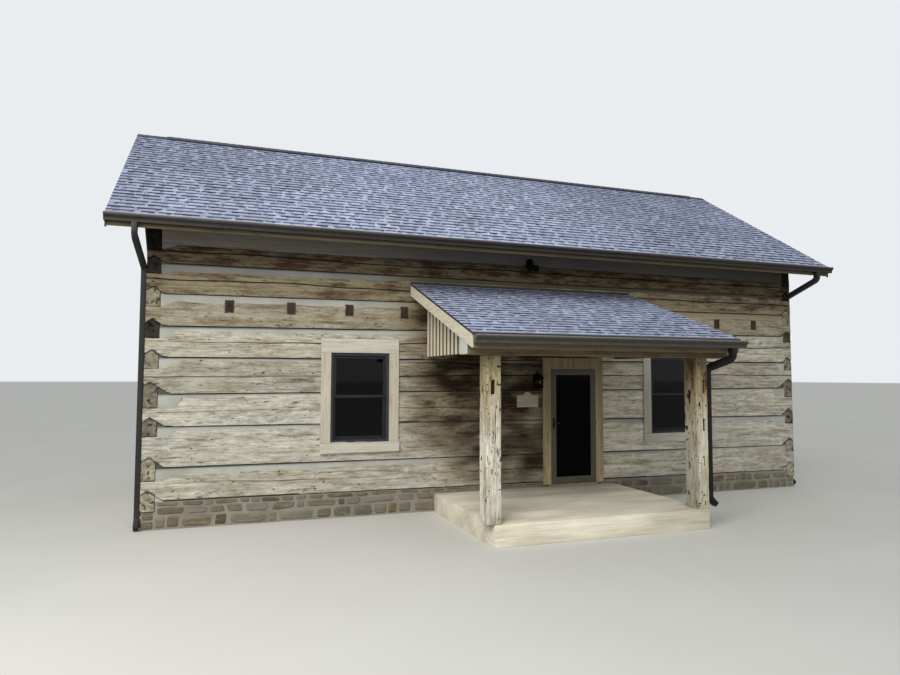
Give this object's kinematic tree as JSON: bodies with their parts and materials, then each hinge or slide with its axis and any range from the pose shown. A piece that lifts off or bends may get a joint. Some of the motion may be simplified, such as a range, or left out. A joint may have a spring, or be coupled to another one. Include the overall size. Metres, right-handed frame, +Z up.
{
  "type": "log cabin",
  "caption": "One-storey cabin of hewn logs with V-notched corners, chinked joints, a shingled gable roof and an open front porch with a storm door that swings.",
  "frame": {"origin": "on the ground, below the middle of the whole building's box", "axes": "+X along the front wall to the right, +Y into the building, +Z up"},
  "size_m": [13.312, 9.794, 6.9207],
  "materials": {
    "hewn_log": "weathered hewn logs, grey and tan, with long drying checks",
    "chinking": "light grey trowelled mortar",
    "foundation_stone": "rough laid field stone in pale mortar",
    "slab": "worn grey-beige concrete",
    "plate_timber": "weathered sawn timber, grey-brown",
    "old_timber": "old hewn timber, pale and checked",
    "inner_wood": "plain boards and joists, brown",
    "shingle": "mineral-faced shingles, slate grey",
    "bronze_metal": "dark bronze painted sheet metal",
    "fascia_paint": "taupe painted boards",
    "pale_board": "pale weathered trim boards",
    "cream_board": "cream painted boards",
    "door_trim": "golden brown boards",
    "door_paint": "grey-taupe painted metal",
    "window_frame": "grey window frame",
    "sash": "dark slate sashes",
    "glass": "clear glass over a dark room",
    "black_metal": "black painted metal",
    "plaque_board": "bare pale board"
  },
  "bodies": {
    "cabin": {"front_foundation": "foundation_stone", "back_foundation": "foundation_stone", "side_foundations": "foundation_stone", "cabin_floor": "inner_wood", "front_logs_left": "hewn_log", "front_logs_right": "hewn_log", "front_logs_over": "hewn_log", "back_logs": "hewn_log", "left_logs": "hewn_log", "right_logs": "hewn_log", "front_chinking": "chinking", "back_chinking": "chinking", "side_chinking": "chinking", "wall_plates": "plate_timber", "loft_joists": "old_timber", "loft_floor": "inner_wood", "gable_walls": "hewn_log", "rafters": "inner_wood", "ridge_board": "inner_wood", "front_roof": "shingle", "back_roof": "shingle", "ridge_vent": "bronze_metal", "front_rake_boards": "bronze_metal", "back_rake_boards": "bronze_metal", "fascia_boards": "fascia_paint", "gutters": "bronze_metal", "downspouts": "bronze_metal", "porch_slab": "slab", "porch_posts": "old_timber", "porch_beam": "plate_timber", "porch_ledger": "inner_wood", "porch_rafters": "inner_wood", "porch_roof": "shingle", "porch_infills": "cream_board", "porch_rake_boards": "cream_board", "porch_flashing": "bronze_metal", "door_casing": "door_trim", "door_threshold": "door_trim", "window_casings": "pale_board", "window_frames": "window_frame", "window_sashes": "sash", "window_glass": "glass", "wall_lantern": "black_metal", "flood_light": "black_metal", "plaque": "plaque_board"},
    "storm_door": {"storm_door_frame": "door_paint", "storm_door_glass": "glass", "storm_door_handle": "black_metal"}
  },
  "joints": [
    {"name": "storm_door_hinge", "type": "hinge", "parent": "cabin", "child": "storm_door", "pos_m": [1.48, -2.0003, 0.338], "axis": [0, 0, 1], "range_deg": [0, 95]}
  ]
}
